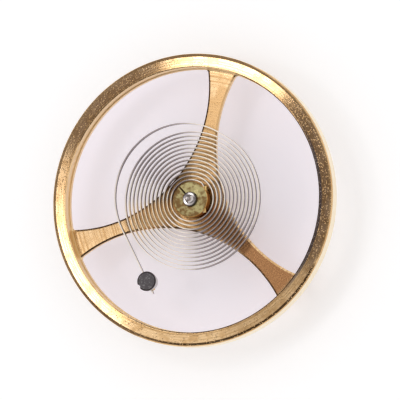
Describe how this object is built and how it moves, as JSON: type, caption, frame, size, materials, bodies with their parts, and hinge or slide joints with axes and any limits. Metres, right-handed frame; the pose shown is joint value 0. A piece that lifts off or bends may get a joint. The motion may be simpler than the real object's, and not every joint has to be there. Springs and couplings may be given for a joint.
{
  "type": "watch balance wheel",
  "caption": "Watch balance wheel with a smooth rim and slim arms, on its staff with rollers and impulse jewel, and a flat hairspring pinned at collet and stud.",
  "frame": {"origin": "tip of the staff's lower pivot, on the staff's axis", "axes": "+Z along the staff to the hairspring side, +X and +Y as the picture's right and up"},
  "size_m": [0.01, 0.01, 0.0024],
  "materials": {
    "wheel_alloy": "turned, gilt copper-beryllium alloy",
    "staff_steel": "hardened steel, burnished",
    "roller_brass": "turned",
    "ruby": "polished synthetic ruby",
    "shellac": "set drop",
    "collet_brass": "turned, slightly tarnished",
    "pin_brass": "drawn",
    "spring_alloy": "rolled strip",
    "stud_steel": "steel, dark ground face, polished side"
  },
  "bodies": {
    "stud": {"stud": "stud_steel", "stud_pin": "pin_brass", "hairspring": "spring_alloy"},
    "balance": {"balance_wheel": "wheel_alloy", "balance_staff": "staff_steel", "roller_table": "roller_brass", "safety_roller": "roller_brass", "impulse_jewel": "ruby", "jewel_shellac": "shellac", "collet": "collet_brass", "collet_pin": "pin_brass"}
  },
  "joints": [
    {"name": "balance_oscillation", "type": "hinge", "parent": "stud", "child": "balance", "pos_m": [0, 0, 0], "axis": [0, 0, 1], "range_deg": [-300, 300], "stiffness_Nm_per_rad": 0.00000059, "deforming": ["hairspring"]}
  ]
}
